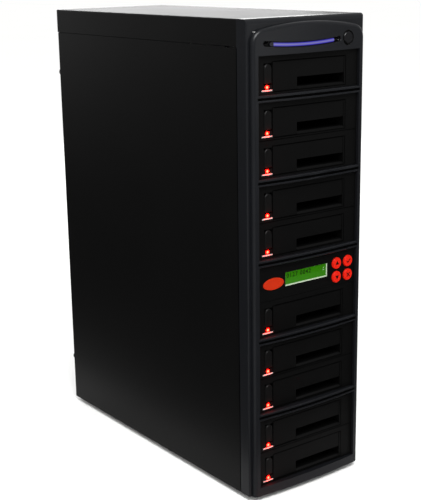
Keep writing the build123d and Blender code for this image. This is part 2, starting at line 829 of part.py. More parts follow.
# Keys: bevelled round caps with a square flange behind the fascia and a stem to the switch
key_front_y = rack_face_y - key_proud
key_flange_y = fascia_back_y + pivot_clearance
key_flange_size = 2 * (key_radius + key_flange)
key_stem_end_y = switch_front_y - key_travel - switch_gap
for key_name, key_place in zip(("key_up", "key_enter", "key_down", "key_escape"), key_places):
    with BuildPart() as key:
        with BuildSketch(front_plane(key_front_y)) as key_cap:
            with Locations(key_place):
                RegularPolygon(key_radius, key_sides)
        extrude(amount=-(key_flange_y - key_front_y))
        chamfer(key.faces().sort_by(Axis.Y)[0].edges(), key_bevel)
        with BuildSketch(front_plane(key_flange_y)) as key_rim:
            with Locations(key_place):
                Rectangle(key_flange_size, key_flange_size)
        extrude(amount=-key_flange_thickness)
        with BuildSketch(front_plane(key_flange_y + key_flange_thickness)) as key_stem:
            with Locations(key_place):
                Rectangle(key_stem_size, key_stem_size)
        extrude(amount=-(key_stem_end_y - key_flange_y - key_flange_thickness))
    write(key_name, key.part)

# Control tray and controller board
tray_z = panel_z + tray_bottom
tray_front_y = metal_front_y + sheet
controller_width = rack_body_width - 2 * controller_side_gap
controller_y = tray_front_y + controller_setback + controller_length / 2
post_spacing_x = controller_width - 2 * post_inset
post_spacing_y = controller_length - 2 * post_inset
with BuildPart() as control_tray:
    with BuildSketch(front_plane(tray_front_y)) as tray_profile:
        with Locations((0, tray_z + tray_side_height / 2)):
            Rectangle(rack_body_width, tray_side_height)
        with Locations((0, tray_z + sheet + tray_side_height / 2)):
            Rectangle(rack_body_width - 2 * sheet, tray_side_height, mode=Mode.SUBTRACT)
    extrude(amount=-tray_depth)
    with BuildSketch(Plane.XY.offset(tray_z + sheet)) as posts:
        with Locations((0, controller_y)):
            with GridLocations(post_spacing_x, post_spacing_y, 2, 2):
                RegularPolygon(post_radius, post_sides)
    extrude(amount=post_height)
write("control_tray", control_tray.part)

controller_z = tray_z + sheet + post_height
with BuildPart() as controller_board:
    with BuildSketch(Plane.XY.offset(controller_z)) as controller:
        with Locations((0, controller_y)):
            Rectangle(controller_width, controller_length)
    extrude(amount=board_thickness)
    with BuildSketch(Plane.XY.offset(controller_z + board_thickness)) as chips:
        with Locations((0, controller_y)):
            with GridLocations(controller_width / 2, controller_length / 2, 2, 2):
                Rectangle(chip_size, chip_size)
    extrude(amount=chip_height)
write("controller_board", controller_board.part)

# Rear panel with the supply window, two fan grilles and upper vents
supply_bottom = case_bottom + sheet
supply_width = case_width - 2 * supply_side_gap
supply_window_width = supply_width - 2 * supply_window_margin
supply_window_height = supply_height - 2 * supply_window_margin
supply_z = supply_bottom + supply_height / 2
fan_heights = (case_bottom + fan_low_height, case_bottom + fan_high_height)
with BuildPart() as rear_panel:
    with BuildSketch(front_plane(rear_panel_y)) as rear_outline:
        with Locations((0, (case_bottom + case_top - sheet) / 2)):
            Rectangle(2 * (inner_half - bend_radius + sheet), case_height - sheet)
        with Locations((0, supply_z)):
            Rectangle(supply_window_width, supply_window_height, mode=Mode.SUBTRACT)
        for row in range(upper_vent_count):
            with Locations((0, case_bottom + upper_vent_base + row * upper_vent_pitch)):
                Rectangle(upper_vent_length, upper_vent_height, mode=Mode.SUBTRACT)
    extrude(amount=-sheet)
    with BuildSketch(front_plane(rear_panel_y)) as grille_slots:
        for height in fan_heights:
            for row in range(grille_rows):
                rise = (row - (grille_rows - 1) / 2) * grille_pitch
                slot_length = 2 * math.sqrt(grille_radius ** 2 - rise ** 2)
                with Locations((0, height + rise)):
                    Rectangle(slot_length, grille_slot)
    extrude(amount=-sheet, mode=Mode.SUBTRACT)
write("rear_panel", rear_panel.part)

# Power supply with its vent, inlet pocket and switch pocket
inlet_z = supply_bottom + inlet_height
rocker_z = supply_bottom + rocker_height
inlet_x = inlet_margin - supply_width / 2
vent_rows = int((supply_height - vent_margin) / vent_slot_pitch)
vent_x = supply_width / 2 - vent_margin - vent_slot_length / 2
rocker_axis_y = rear_panel_y - rocker_axis_depth
rocker_pocket_size = 2 * (rocker_pin_radius + pivot_clearance)
with BuildPart() as power_supply:
    with BuildSketch(front_plane(rear_panel_y)) as supply_outline:
        with Locations((0, supply_z)):
            Rectangle(supply_width, supply_height)
    extrude(amount=supply_depth)
    with BuildSketch(front_plane(rear_panel_y)) as supply_vent:
        with Locations((vent_x, supply_z)):
            with GridLocations(vent_slot_length, vent_slot_pitch, 1, vent_rows):
                Rectangle(vent_slot_length, vent_slot_height)
    extrude(amount=vent_slot_depth, mode=Mode.SUBTRACT)
    with BuildSketch(front_plane(rear_panel_y)) as inlet_pocket:
        with Locations((inlet_x, inlet_z)):
            Rectangle(inlet_width, inlet_tall)
    extrude(amount=inlet_body_depth, mode=Mode.SUBTRACT)
    with BuildSketch(front_plane(rear_panel_y)) as rocker_pocket:
        with Locations((inlet_x, rocker_z)):
            Rectangle(rocker_width + 2 * rocker_gap, 2 * (rocker_radius + rocker_gap))
    extrude(amount=rocker_axis_depth + rocker_radius + rocker_gap, mode=Mode.SUBTRACT)
    with BuildSketch(Plane.YZ.offset(inlet_x - rocker_width / 2 - rocker_rim)) as rocker_pin_pockets:
        with Locations((rocker_axis_y, rocker_z)):
            Rectangle(rocker_pocket_size, rocker_pocket_size)
    extrude(amount=rocker_width + 2 * rocker_rim, mode=Mode.SUBTRACT)
write("power_supply", power_supply.part)

# Inlet for a mains lead: flange, socket and three pins
inlet_socket_y = rear_panel_y + inlet_flange_thickness - inlet_socket_depth
inlet_pin_places = [
    (inlet_x - inlet_pin_spread, inlet_z - inlet_pin_offset),
    (inlet_x, inlet_z + inlet_pin_offset),
    (inlet_x + inlet_pin_spread, inlet_z - inlet_pin_offset),
]
with BuildPart() as power_inlet:
    with BuildSketch(front_plane(rear_panel_y)) as inlet_rim:
        with Locations((inlet_x, inlet_z)):
            Rectangle(inlet_width + 2 * inlet_flange, inlet_tall + 2 * inlet_flange)
    extrude(amount=-inlet_flange_thickness)
    with BuildSketch(front_plane(rear_panel_y)) as inlet_body:
        with Locations((inlet_x, inlet_z)):
            Rectangle(inlet_width, inlet_tall)
    extrude(amount=inlet_body_depth)
    with BuildSketch(front_plane(rear_panel_y + inlet_flange_thickness)) as inlet_socket:
        with Locations((inlet_x, inlet_z)):
            RectangleRounded(inlet_width - 2 * inlet_wall, inlet_tall - 2 * inlet_wall, inlet_wall)
    extrude(amount=inlet_socket_depth, mode=Mode.SUBTRACT)
    with BuildSketch(front_plane(inlet_socket_y)) as inlet_pins:
        with Locations(*inlet_pin_places):
            Rectangle(*inlet_pin_size)
    extrude(amount=-inlet_pin_length)
write("power_inlet", power_inlet.part)

# Rocker: a half drum with a shallow V front, tilted one way at rest
rocker_origin = (inlet_x - rocker_width / 2, rocker_axis_y, rocker_z)
rocker_turn = math.radians(rocker_tilt)
facet_rise = rocker_radius * math.sin(rocker_turn)
ridge_rise = 2 * facet_rise
rocker_heading = (0, math.cos(rocker_turn), -math.sin(rocker_turn))
rocker_plane = Plane(rocker_origin, x_dir=rocker_heading, z_dir=(1, 0, 0))
with BuildPart() as rocker_switch:
    with BuildSketch(rocker_plane) as rocker_profile:
        with BuildLine():
            ThreePointArc((facet_rise, -rocker_radius), (-rocker_radius, 0), (facet_rise, rocker_radius))
            Polyline((facet_rise, rocker_radius), (ridge_rise, 0), (facet_rise, -rocker_radius))
        make_face()
    extrude(amount=rocker_width)
    with BuildSketch(Plane.YZ.offset(inlet_x - rocker_width / 2 - rocker_rim + rocker_gap)) as rocker_pins:
        with Locations((rocker_axis_y, rocker_z)):
            RegularPolygon(rocker_pin_radius, pin_sides)
    extrude(amount=rocker_width + 2 * (rocker_rim - rocker_gap))
write("rocker_switch", rocker_switch.part)

# Fan frame on its own axis: square duct, hub and struts at the exhaust end, bearing pin
rotor_base = fan_strut_depth + rotor_gap
rotor_height = fan_depth - rotor_base - rotor_gap
rotor_bore_depth = rotor_height - fan_hub_wall
with BuildPart() as fan_frame:
    with BuildSketch(Plane.XY) as duct:
        Rectangle(fan_size, fan_size)
        RegularPolygon(fan_bore_radius, fan_bore_sides, mode=Mode.SUBTRACT)
    extrude(amount=fan_depth)
    with BuildSketch(Plane.XY) as struts:
        RegularPolygon(fan_hub_radius, fan_hub_sides)
        Rectangle(2 * fan_bore_radius + fan_strut, fan_strut)
        Rectangle(fan_strut, 2 * fan_bore_radius + fan_strut)
    extrude(amount=fan_strut_depth)
    with BuildSketch(Plane.XY.offset(fan_strut_depth)) as bearing_pin:
        Circle(fan_pin_radius)
    extrude(amount=rotor_gap + rotor_bore_depth - fan_pin_end_gap)

# Fan rotor on the same axis: a hub closed at the inner end, with flat blades set at an angle
with BuildPart() as blade:
    with BuildSketch(Plane.YZ.offset(fan_hub_radius - blade_sink)) as blade_section:
        with Locations((0, rotor_base + rotor_height / 2)):
            Rectangle(blade_chord, blade_thickness, rotation=blade_angle)
    extrude(amount=rotor_radius - fan_hub_radius + blade_sink)
with BuildPart() as fan_rotor:
    with BuildSketch(Plane.XY.offset(rotor_base)) as hub:
        RegularPolygon(fan_hub_radius, fan_hub_sides)
    extrude(amount=rotor_height)
    with PolarLocations(0, blade_count):
        add(blade.part)
    with BuildSketch(Plane.XY.offset(rotor_base)) as rotor_bore:
        Circle(fan_pin_radius + fan_pin_clearance)
    extrude(amount=rotor_bore_depth, mode=Mode.SUBTRACT)

fan_places = [Location((0, rear_panel_y, height), (90, 0, 0)) for height in fan_heights]
with BuildPart() as fan_frames:
    with Locations(*fan_places):
        add(fan_frame.part)
write("fan_frames", fan_frames.part)

for rotor_name, fan_place in zip(("fan_rotor_lower", "fan_rotor_upper"), fan_places):
    with BuildPart() as placed_rotor:
        with Locations(fan_place):
            add(fan_rotor.part)
    write(rotor_name, placed_rotor.part)
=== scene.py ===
import bmesh
import bpy
import math
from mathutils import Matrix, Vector


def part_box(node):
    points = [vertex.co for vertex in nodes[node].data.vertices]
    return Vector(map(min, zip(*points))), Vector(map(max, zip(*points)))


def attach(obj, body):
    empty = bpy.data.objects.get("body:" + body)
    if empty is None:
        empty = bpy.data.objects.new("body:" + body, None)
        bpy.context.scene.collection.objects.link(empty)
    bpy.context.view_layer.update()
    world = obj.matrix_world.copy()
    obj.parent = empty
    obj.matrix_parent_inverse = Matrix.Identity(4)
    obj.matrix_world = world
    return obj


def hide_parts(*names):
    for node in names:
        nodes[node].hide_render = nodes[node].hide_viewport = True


# The looks of a hard drive duplicator: a black steel tower with a moulded front, ten drive racks
# and a lit control panel. Lengths are metres; MM turns a size in millimetres into them.
# The front looks along -Y, and the base body that everything fixed rides on is the case.

MM = 0.001

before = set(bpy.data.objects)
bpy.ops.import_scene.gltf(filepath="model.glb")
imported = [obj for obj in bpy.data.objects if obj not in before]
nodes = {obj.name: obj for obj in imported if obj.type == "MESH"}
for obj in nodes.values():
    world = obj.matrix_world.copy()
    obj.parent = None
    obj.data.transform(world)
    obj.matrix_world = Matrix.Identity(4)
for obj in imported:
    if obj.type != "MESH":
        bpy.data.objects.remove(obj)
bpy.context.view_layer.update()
bpy.ops.object.select_all(action="DESELECT")

RACKS = [f"{number:02d}" for number in range(1, 11)]
KEYS = ("key_up", "key_enter", "key_down", "key_escape")
ROTORS = ("fan_rotor_lower", "fan_rotor_upper")


# Colours and shader nodes

def linear(code):
    """The linear colour for an sRGB hex code."""
    values = [int(code[place:place + 2], 16) / 255 for place in (1, 3, 5)]
    return [v / 12.92 if v <= 0.04045 else ((v + 0.055) / 1.055) ** 2.4 for v in values] + [1.0]


def add_node(material, kind, inputs, **settings):
    """Add a node with its settings; an input is either a value or the output that feeds it."""
    node = material.node_tree.nodes.new(kind)
    for name, value in settings.items():
        setattr(node, name, value)
    for name, value in inputs.items():
        if isinstance(value, bpy.types.NodeSocket):
            material.node_tree.links.new(value, node.inputs[name])
        else:
            node.inputs[name].default_value = value
    return node


def start_material(name):
    """An empty material and the object coordinates that its patterns read."""
    material = bpy.data.materials.new(name)
    material.use_nodes = True
    material.node_tree.nodes.clear()
    coordinates = add_node(material, "ShaderNodeTexCoord", {})
    return material, coordinates.outputs["Object"]


def close_material(material, inputs):
    """The surface shader and the output."""
    surface = add_node(material, "ShaderNodeBsdfPrincipled", inputs)
    add_node(material, "ShaderNodeOutputMaterial", {"Surface": surface.outputs["BSDF"]})
    return material


def grain_bump(material, place, grain, height):
    """Normals of a fine grain: grain is its width and height its depth, both in metres."""
    noise = add_node(material, "ShaderNodeTexNoise", {"Vector": place, "Scale": 1 / grain, "Detail": 2.0})
    bump = add_node(
        material, "ShaderNodeBump",
        {"Height": noise.outputs["Fac"], "Distance": height, "Strength": 1.0},
    )
    return bump.outputs["Normal"]


def blended(material, share, first, second):
    """The colour between two hex codes at the given share."""
    ramp = add_node(material, "ShaderNodeValToRGB", {"Fac": share})
    ramp.color_ramp.elements[0].color = linear(first)
    ramp.color_ramp.elements[1].color = linear(second)
    return ramp.outputs["Color"]


def two_tones(material, place, patch, first, second):
    """A colour that wanders between two tones over patches of that size in metres."""
    noise = add_node(material, "ShaderNodeTexNoise", {"Vector": place, "Scale": 1 / patch, "Detail": 4.0})
    return blended(material, noise.outputs["Fac"], first, second)


def spread(material, value, low, high, start=0.0, end=1.0):
    """A value that goes from low to high while the value that feeds it goes from start to end."""
    node = add_node(material, "ShaderNodeMapRange", {
        "Value": value, "From Min": start, "From Max": end, "To Min": low, "To Max": high,
    })
    return node.outputs["Result"]


def wandering(material, place, patch, low, high):
    """A value that wanders between low and high over patches of that size in metres."""
    noise = add_node(material, "ShaderNodeTexNoise", {"Vector": place, "Scale": 1 / patch, "Detail": 3.0})
    return spread(material, noise.outputs["Fac"], low, high)


# Kinds of surface. Tones are two hex colours, gloss is the mean roughness, shine the specular
# level, and grain and height are the width and the depth of the surface's grain.

def uneven_surface(name, tones, tone_patch, gloss, gloss_range, gloss_patch, shine, grain, height):
    """A surface whose tone and gloss wander over patches of their own size."""
    material, place = start_material(name)
    return close_material(material, {
        "Base Color": two_tones(material, place, tone_patch, *tones),
        "Roughness": wandering(material, place, gloss_patch, gloss - gloss_range, gloss + gloss_range),
        "Specular IOR Level": shine,
        "Normal": grain_bump(material, place, grain, height),
    })


def moulded_plastic(name, tones, gloss, shine, grain, height):
    """Injection-moulded plastic or rubber with a spark-eroded grain."""
    return uneven_surface(
        name, tones, tone_patch=60 * MM, gloss=gloss, gloss_range=0.04, gloss_patch=25 * MM,
        shine=shine, grain=grain, height=height,
    )


def powder_coat(name, tones, gloss):
    """Steel under a satin coat, whose faint orange peel softens what it mirrors."""
    return uneven_surface(
        name, tones, tone_patch=180 * MM, gloss=gloss, gloss_range=0.03, gloss_patch=90 * MM,
        shine=0.045, grain=1.2 * MM, height=0.012 * MM,
    )


def smooth_skin(name, tones, gloss):
    """Silicone, vinyl, enamel or ink: smooth and a little dull, with a dusting of fine grain."""
    return uneven_surface(
        name, tones, tone_patch=5 * MM, gloss=gloss, gloss_range=0.05, gloss_patch=4 * MM,
        shine=0.04, grain=0.4 * MM, height=0.006 * MM,
    )


def galvanised_steel(name):
    """Zinc-coated sheet with its spangle of pale and grey crystals, some duller than others."""
    material, place = start_material(name)
    crystals = add_node(material, "ShaderNodeTexVoronoi", {"Vector": place, "Scale": 1 / (6 * MM)})
    return close_material(material, {
        "Roughness": spread(material, crystals.outputs["Distance"], low=0.28, high=0.46),
        "Base Color": two_tones(material, place, patch=9 * MM, first="#8d9194", second="#b4b8ba"),
        "Metallic": 1.0,
        "Normal": grain_bump(material, place, grain=0.8 * MM, height=0.01 * MM),
    })


def circuit_board(name):
    """Glass-fibre board under green solder resist, with paler tracks."""
    material, place = start_material(name)
    tracks = add_node(material, "ShaderNodeTexBrick", {
        "Vector": place, "Scale": 1 / (20 * MM), "Mortar Size": 0.03,
        "Color1": linear("#0d3d1d"), "Color2": linear("#10491f"), "Mortar": linear("#1c6a31"),
    })
    return close_material(material, {
        "Base Color": tracks.outputs["Color"],
        "Roughness": 0.35,
        "Normal": grain_bump(material, place, grain=0.7 * MM, height=0.01 * MM),
    })


def lit_lens_and_painted_glow(name, body, core, strength, patch):
    """Clear coloured plastic lit from inside, a little unevenly; the collars around the lamps use it for a
    painted glow.
    """
    material, place = start_material(name)
    return close_material(material, {
        "Base Color": linear(body),
        "Roughness": 0.2,
        "Specular IOR Level": 0.04,
        "Emission Color": two_tones(material, place, patch, body, core),
        "Emission Strength": strength,
    })


# The light bar is an arc about this centre. Its light is palest within the core, blue from the
# rim on, and falls off between the bright and the dark half width; its left end isn't lit.
BAR_CENTRE = (-12.5 * MM, 0, (529.8 + 506.0) * MM)
BAR_RADIUS = 506.0 * MM
BAR_CORE_HALF = 0.2 * MM
BAR_RIM_HALF = 1.7 * MM
BAR_BRIGHT_HALF = 1.4 * MM
BAR_DARK_HALF = 2.1 * MM
BAR_DARK_STRENGTH = 0.1
BAR_LIT_FROM = -53.2 * MM
BAR_LIT_FADE = 0.6 * MM


def lit_bar(name, rim, core, strength):
    """The curved diffuser, palest along its middle line, where the tubes behind it are."""
    material, place = start_material(name)
    from_centre = add_node(
        material, "ShaderNodeVectorMath", {0: place, 1: BAR_CENTRE}, operation="SUBTRACT",
    )
    flat = add_node(
        material, "ShaderNodeVectorMath", {0: from_centre.outputs["Vector"], 1: (1, 0, 1)},
        operation="MULTIPLY",
    )
    reach = add_node(
        material, "ShaderNodeVectorMath", {0: flat.outputs["Vector"]}, operation="LENGTH",
    )
    offset = add_node(
        material, "ShaderNodeMath", {0: reach.outputs["Value"], 1: BAR_RADIUS}, operation="SUBTRACT",
    )
    aside = add_node(
        material, "ShaderNodeMath", {0: offset.outputs["Value"]}, operation="ABSOLUTE",
    ).outputs["Value"]
    along = add_node(material, "ShaderNodeSeparateXYZ", {"Vector": place}).outputs["X"]
    share = spread(material, aside, 0.0, 1.0, start=BAR_RIM_HALF, end=BAR_CORE_HALF)
    edges = spread(
        material, aside, BAR_DARK_STRENGTH, strength, start=BAR_DARK_HALF, end=BAR_BRIGHT_HALF,
    )
    lit = spread(material, along, 0.0, 1.0, start=BAR_LIT_FROM - BAR_LIT_FADE, end=BAR_LIT_FROM)
    power = add_node(material, "ShaderNodeMath", {0: edges, 1: lit}, operation="MULTIPLY")
    return close_material(material, {
        "Base Color": linear("#05040f"),
        "Roughness": 0.2,
        "Specular IOR Level": 0.1,
        "Emission Color": blended(material, share, rim, core),
        "Emission Strength": power.outputs["Value"],
    })


# Materials

# Front moulding: black ABS with a satin grain; the button and the bar's lip are the same, polished
bezel_abs = moulded_plastic("bezel_abs", ("#0f1012", "#121316"), 0.33, 0.085, 0.5 * MM, 0.006 * MM)
button_abs = moulded_plastic("button_abs", ("#08080a", "#0b0b0d"), 0.25, 0.1, 0.5 * MM, 0.003 * MM)
# Ring and lining: the glossiest black of the front, a painted shade for the dark gap around the button and
# the dark recess of the bar
shade_gloss_black = moulded_plastic(
    "painted_shade_gloss_black", ("#020202", "#040404"), 0.15, 0.05, 0.5 * MM, 0.001 * MM,
)
# Painted shade: a black without shine for the pieces laid in grooves, gaps and seams, where shade falls
painted_shade_black = moulded_plastic("painted_shade_black", ("#020202", "#030303"), 0.8, 0.0, 0.5 * MM, 0.006 * MM)
# Racks: coarse matt black ABS; the levers are a little smoother
rack_abs = moulded_plastic("rack_abs", ("#040404", "#060606"), 0.5, 0.035, 0.6 * MM, 0.02 * MM)
lever_abs = moulded_plastic("lever_abs", ("#070707", "#090909"), 0.45, 0.045, 0.6 * MM, 0.015 * MM)
# Fans and switches: glass-filled PBT; mains inlet: nylon
fan_pbt = moulded_plastic("fan_pbt", ("#0e0e0f", "#121213"), 0.4, 0.3, 0.8 * MM, 0.02 * MM)
inlet_nylon = moulded_plastic("inlet_nylon", ("#0c0c0d", "#101011"), 0.3, 0.3, 0.6 * MM, 0.008 * MM)
# Case: sheet steel with a black powder coat; screws: black zinc plate
case_paint = powder_coat("case_powder_coat", ("#070707", "#090909"), 0.42)
screw_steel = powder_coat("screw_black_zinc", ("#202124", "#2a2b2e"), 0.32)
# Cage, tray and power supply: bare zinc-coated sheet; boards: green solder resist
inner_zinc = galvanised_steel("galvanised_steel")
supply_zinc = galvanised_steel("supply_zinc_sheet")
board_resist = circuit_board("green_solder_resist")
# Feet: black rubber; keys: orange-red silicone with marks in black ink
foot_rubber = smooth_skin("foot_rubber", ("#101010", "#171717"), 0.75)
key_silicone = smooth_skin("key_orange_silicone", ("#b81404", "#c01806"), 0.5)
mark_ink = smooth_skin("mark_black_ink", ("#0c0403", "#120605"), 0.5)
# Badge: orange-red enamel; name strips: greyish white vinyl
badge_enamel = smooth_skin("badge_orange_enamel", ("#9c2208", "#a4260c"), 0.3)
strip_vinyl = smooth_skin("strip_white_vinyl", ("#98908d", "#a69e9b"), 0.5)
# Display: backlit green liquid crystal with dark segments in a painted pale frame
screen_green = lit_lens_and_painted_glow("screen_green_backlight", "#1c4e02", "#276404", strength=0.52, patch=20 * MM)
screen_ink = smooth_skin("screen_dark_segments", ("#081403", "#0c1a05"), 0.6)
screen_frame_paint = smooth_skin("screen_frame_white", ("#93a189", "#9eab95"), 0.4)
# Lit plastic: the blue bar and the red epoxy lamps. The red collars carry a painted glow of the lamps'
# light, brighter near the lamp and dimmer at the rim
bar_diffuser = lit_bar("bar_blue_diffuser", rim="#2a20b8", core="#7d79b8", strength=0.9)
lamp_epoxy = lit_lens_and_painted_glow("lamp_red_epoxy", "#ff3c28", "#ff4f3a", strength=9.0, patch=2 * MM)
painted_glow_near_lamp = lit_lens_and_painted_glow("painted_lamp_glow_near", "#e81404", "#ff2008", strength=1.0, patch=2 * MM)
painted_glow_rim = lit_lens_and_painted_glow("painted_lamp_glow_rim", "#640200", "#7a0301", strength=1.0, patch=2 * MM)

dressed_nodes = [
    (bezel_abs, ["front_bezel"]),
    (button_abs, ["power_button"]),
    (bar_diffuser, ["light_bar"]),
    (lamp_epoxy, ["status_lamps"]),
    (case_paint, ["top_cover", "left_side_panel", "right_side_panel", "bottom_pan", "rear_panel"]),
    (screw_steel, ["thumb_screws"]),
    (foot_rubber, ["feet"]),
    (inner_zinc, ["drive_cage", "control_tray"]),
    (supply_zinc, ["power_supply"]),
    (board_resist, ["panel_board", "controller_board", "backplane_boards"]),
    (inlet_nylon, ["power_inlet", "rocker_switch"]),
    (fan_pbt, ["power_switch", "fan_frames", *ROTORS]),
    (key_silicone, KEYS),
    (rack_abs, ["control_panel", "display_glass"]),
    (rack_abs, [f"rack_frame_{number}" for number in RACKS]),
    (rack_abs, [f"drive_door_{number}" for number in RACKS]),
    (lever_abs, [f"eject_lever_{number}" for number in RACKS]),
]
for material, names in dressed_nodes:
    for name in names:
        nodes[name].data.materials.clear()
        nodes[name].data.materials.append(material)


# Working on pieces

def pick_piece(piece):
    """Make one piece the only one selected, and active."""
    bpy.ops.object.select_all(action="DESELECT")
    piece.select_set(True)
    bpy.context.view_layer.objects.active = piece


def begin_edit(piece, kind="FACE"):
    """Open one piece for editing with nothing selected."""
    pick_piece(piece)
    bpy.ops.object.mode_set(mode="EDIT")
    bpy.ops.mesh.select_mode(type=kind)
    bpy.ops.mesh.select_all(action="DESELECT")


def end_edit():
    bpy.ops.object.mode_set(mode="OBJECT")


def pick_faces(piece, wanted):
    """Select the faces for which the test is true."""
    mesh = bmesh.from_edit_mesh(piece.data)
    for face in mesh.faces:
        face.select_set(wanted(face))
    bmesh.update_edit_mesh(piece.data)


def faces_front(face):
    return face.normal.y < -0.99


def faces_rear(face):
    return face.normal.y > 0.99


def faces_left(face):
    return face.normal.x < -0.99


def round_rim(piece, wanted, offset, segments):
    """Round the edges of the faces for which the test is true."""
    begin_edit(piece)
    pick_faces(piece, wanted)
    bpy.ops.mesh.bevel(offset=offset, segments=segments, affect="EDGES")
    end_edit()


def divide_long_edges(piece, length, cuts):
    """Divide the edges longer than a length in a piece that is open for editing."""
    mesh = bmesh.from_edit_mesh(piece.data)
    for edge in mesh.edges:
        edge.select_set(edge.calc_length() > length)
    bmesh.update_edit_mesh(piece.data)
    bpy.ops.mesh.subdivide(number_cuts=cuts)


def cut_out(piece, cutter):
    """Cut a shape out of a piece and take the shape away."""
    cut = piece.modifiers.new("cut", "BOOLEAN")
    cut.object = cutter
    cut.operation = "DIFFERENCE"
    bpy.context.view_layer.objects.active = piece
    bpy.ops.object.modifier_apply(modifier=cut.name)
    bpy.data.objects.remove(cutter)


def settle(piece, body, material):
    """Put the piece's place into its mesh, smooth it, dress it and let it ride on its body."""
    pick_piece(piece)
    bpy.ops.object.transform_apply(location=True, rotation=True, scale=True)
    bpy.ops.object.shade_smooth_by_angle(angle=math.radians(35))
    piece.data.materials.clear()
    piece.data.materials.append(material)
    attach(piece, body)


def paint_faces(piece, material, wanted):
    """Give a second material to the faces of a settled piece for which the test is true."""
    piece.data.materials.append(material)
    for face in piece.data.polygons:
        if wanted(face):
            face.material_index = 1


def copies_joined(piece, shifts):
    """Copies of a piece at each shift from its first place, joined into it."""
    bpy.ops.object.select_all(action="DESELECT")
    for shift in shifts:
        copy = piece.copy()
        copy.data = piece.data.copy()
        copy.location = piece.location + Vector(shift)
        bpy.context.scene.collection.objects.link(copy)
        copy.select_set(True)
    piece.select_set(True)
    bpy.context.view_layer.objects.active = piece
    bpy.ops.object.join()


def block(name, low, high):
    """A box from its low corner to its high corner, to be shaped further."""
    middle = (Vector(low) + Vector(high)) / 2
    bpy.ops.mesh.primitive_cube_add(size=1, location=middle)
    piece = bpy.context.object
    piece.name = name
    piece.scale = Vector(high) - Vector(low)
    bpy.ops.object.transform_apply(location=False, rotation=False, scale=True)
    return piece


def disc(name, radius, depth, place, sides):
    """A round along Y, from its place back to a depth behind it, to be shaped further."""
    middle = Vector(place) + Vector((0, depth / 2, 0))
    bpy.ops.mesh.primitive_cylinder_add(
        vertices=sides, radius=radius, depth=depth, location=middle, rotation=(math.radians(90), 0, 0),
    )
    piece = bpy.context.object
    piece.name = name
    bpy.ops.object.transform_apply(location=False, rotation=True, scale=True)
    return piece


# Places on the racks, which all stand in the same way above their lowest edge
frame_low, frame_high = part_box("rack_frame_01")
rack_front = frame_low.y
rack_lows = [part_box(f"rack_frame_{number}")[0].z for number in RACKS]
rack_shifts = [(0, 0, low - rack_lows[0]) for low in rack_lows[1:]]

# Red lamps: a domed epoxy lens in each rack
LAMP_X = -60 * MM
LAMP_RISE = 7.75 * MM
LAMP_RADIUS = 1.5 * MM
LAMP_PROUD = 0.8 * MM
LAMP_ROUND = 0.7 * MM
LAMP_SIDES = 24
lamps = disc(
    "lamp_domes", LAMP_RADIUS, LAMP_PROUD,
    (LAMP_X, rack_front - LAMP_PROUD, rack_lows[0] + LAMP_RISE), LAMP_SIDES,
)
round_rim(lamps, faces_front, LAMP_ROUND, segments=4)
copies_joined(lamps, rack_shifts)
settle(lamps, "case", lamp_epoxy)
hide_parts("status_lamps")

# Flat red collars around the lamps with a painted glow of the lamps' light, brighter near the lamp and
# dimmer toward their rims
COLLAR_RADIUS = 2.9 * MM
COLLAR_RIM = 0.75 * MM
COLLAR_PROUD = 0.1 * MM
glow_collars = disc(
    "painted_glow_collars", COLLAR_RADIUS, COLLAR_PROUD,
    (LAMP_X, rack_front - COLLAR_PROUD, rack_lows[0] + LAMP_RISE), LAMP_SIDES,
)
begin_edit(glow_collars)
pick_faces(glow_collars, faces_front)
bpy.ops.mesh.inset(thickness=COLLAR_RIM)
end_edit()
copies_joined(glow_collars, rack_shifts)
settle(glow_collars, "case", painted_glow_rim)
paint_faces(glow_collars, painted_glow_near_lamp, lambda face: faces_front(face) and len(face.vertices) == LAMP_SIDES)

# Pale name strips under the lamps, left bare
STRIP_LEFT = -67.7 * MM
STRIP_LENGTH = 15.1 * MM
STRIP_RISE = 4.05 * MM
STRIP_HEIGHT = 1.5 * MM
STRIP_THICKNESS = 0.35 * MM
STRIP_ROUND = 0.15 * MM
strips = block(
    "name_strips",
    (STRIP_LEFT, rack_front - STRIP_THICKNESS, rack_lows[0] + STRIP_RISE - STRIP_HEIGHT / 2),
    (STRIP_LEFT + STRIP_LENGTH, rack_front, rack_lows[0] + STRIP_RISE + STRIP_HEIGHT / 2),
)
round_rim(strips, faces_front, STRIP_ROUND, segments=2)
copies_joined(strips, rack_shifts)
settle(strips, "case", strip_vinyl)

# Display: a sunk screen with a pale sloping frame, broad at the bottom and the right
FRAME_SET_BACK = 0.1 * MM
SCREEN_SUNK = 0.85 * MM
SCREEN_EDGE = 0.3 * MM
SCREEN_LIP_BOTTOM = 1.3 * MM
SCREEN_LIP_RIGHT = 0.9 * MM
glass_low, glass_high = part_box("display_glass")
panel_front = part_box("control_panel")[0].y
screen_y = panel_front + FRAME_SET_BACK + SCREEN_SUNK
screen = block("display_screen", (glass_low.x, panel_front + FRAME_SET_BACK, glass_low.z), glass_high)
begin_edit(screen)
pick_faces(screen, faces_front)
bpy.ops.mesh.inset(thickness=SCREEN_EDGE)
bpy.ops.transform.translate(value=(0, SCREEN_SUNK, 0))
mesh = bmesh.from_edit_mesh(screen.data)
for corner in [v for f in mesh.faces if f.select for v in f.verts]:
    at = screen.matrix_world @ corner.co
    if at.z < (glass_low.z + glass_high.z) / 2:
        corner.co.z = glass_low.z + SCREEN_LIP_BOTTOM - screen.location.z
    if at.x > (glass_low.x + glass_high.x) / 2:
        corner.co.x = glass_high.x - SCREEN_LIP_RIGHT - screen.location.x
bmesh.update_edit_mesh(screen.data)
end_edit()
settle(screen, "case", screen_frame_paint)
paint_faces(
    screen, screen_green,
    lambda face: faces_front(face) and face.center.y > panel_front + SCREEN_SUNK / 2,
)
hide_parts("display_glass")

# Counting figures on the screen, which say nothing but numbers, and a pair of pale dots at its right
FIGURE_HEIGHT = 5.2 * MM
FONT_SIZE_PER_HEIGHT = 1.35
FIGURE_BOLDER = 0.12 * MM
FIGURE_THICKNESS = 0.03 * MM


